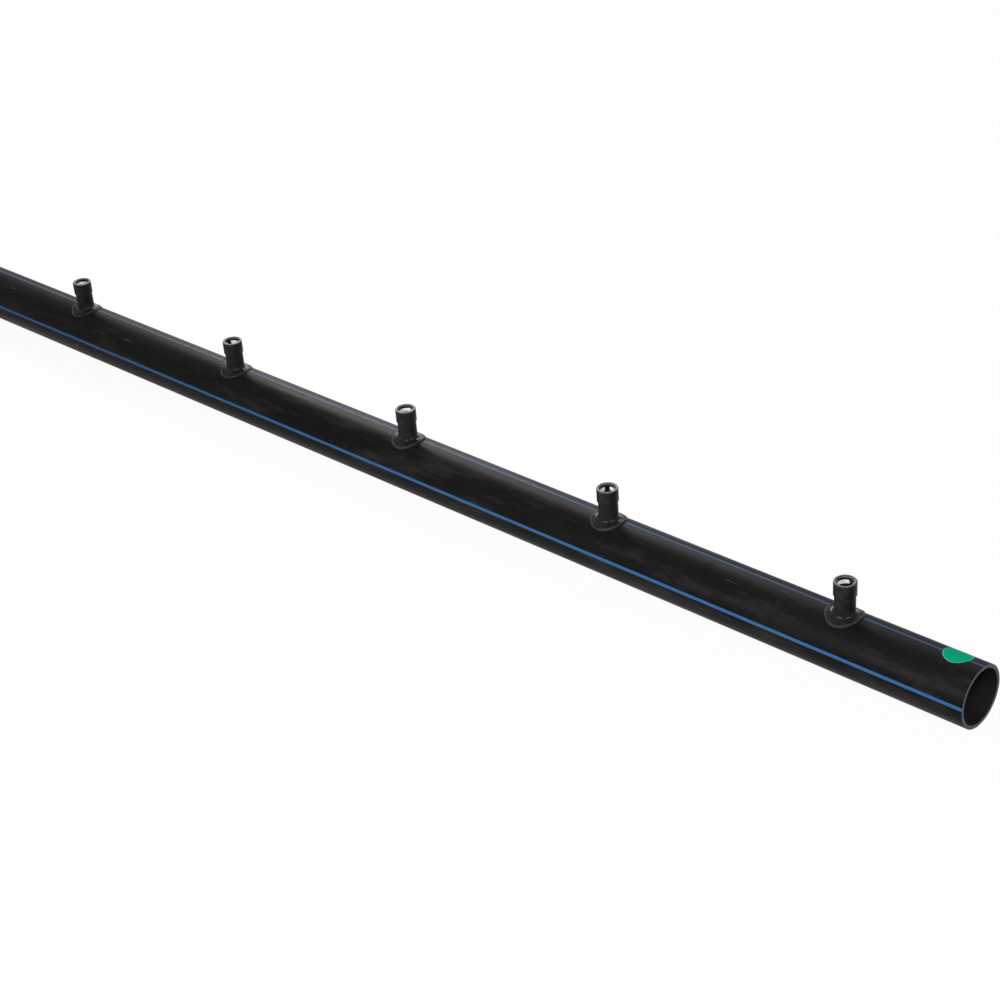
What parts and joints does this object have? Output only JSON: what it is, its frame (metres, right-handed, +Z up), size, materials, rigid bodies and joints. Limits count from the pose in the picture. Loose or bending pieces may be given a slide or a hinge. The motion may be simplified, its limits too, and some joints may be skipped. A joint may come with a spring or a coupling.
{
  "type": "heating manifold",
  "caption": "Straight black polyethylene header pipe with blue stripes and a row of upright push-fit outlets welded along its crown, both ends open.",
  "frame": {"origin": "centre of the header pipe's left end face, on the pipe's axis", "axes": "+X along the pipe towards its right end; +Z up, the way the outlets point; -Y is the front"},
  "size_m": [3.01, 0.1098, 0.1719],
  "materials": {
    "pipe_black": "satin",
    "stripe_blue": "satin",
    "sticker_green": "satin vinyl",
    "outlet_black": "satin",
    "cap_black": "satin",
    "ring_white": "satin",
    "bush_grey": "matte",
    "seal_rubber": "matte"
  },
  "bodies": {
    "root": {"header_pipe": "pipe_black", "stripe_crown": "stripe_blue", "stripe_rear": "stripe_blue", "stripe_underside": "stripe_blue", "stripe_front": "stripe_blue", "sticker": "sticker_green", "outlet_saddle_1": "outlet_black", "outlet_cap_1": "cap_black", "grip_ring_1": "ring_white", "seal_bush_1": "bush_grey", "o_ring_1": "seal_rubber", "outlet_saddle_2": "outlet_black", "outlet_cap_2": "cap_black", "grip_ring_2": "ring_white", "seal_bush_2": "bush_grey", "o_ring_2": "seal_rubber", "outlet_saddle_3": "outlet_black", "outlet_cap_3": "cap_black", "grip_ring_3": "ring_white", "seal_bush_3": "bush_grey", "o_ring_3": "seal_rubber", "outlet_saddle_4": "outlet_black", "outlet_cap_4": "cap_black", "grip_ring_4": "ring_white", "seal_bush_4": "bush_grey", "o_ring_4": "seal_rubber", "outlet_saddle_5": "outlet_black", "outlet_cap_5": "cap_black", "grip_ring_5": "ring_white", "seal_bush_5": "bush_grey", "o_ring_5": "seal_rubber", "outlet_saddle_6": "outlet_black", "outlet_cap_6": "cap_black", "grip_ring_6": "ring_white", "seal_bush_6": "bush_grey", "o_ring_6": "seal_rubber"}
  },
  "joints": []
}
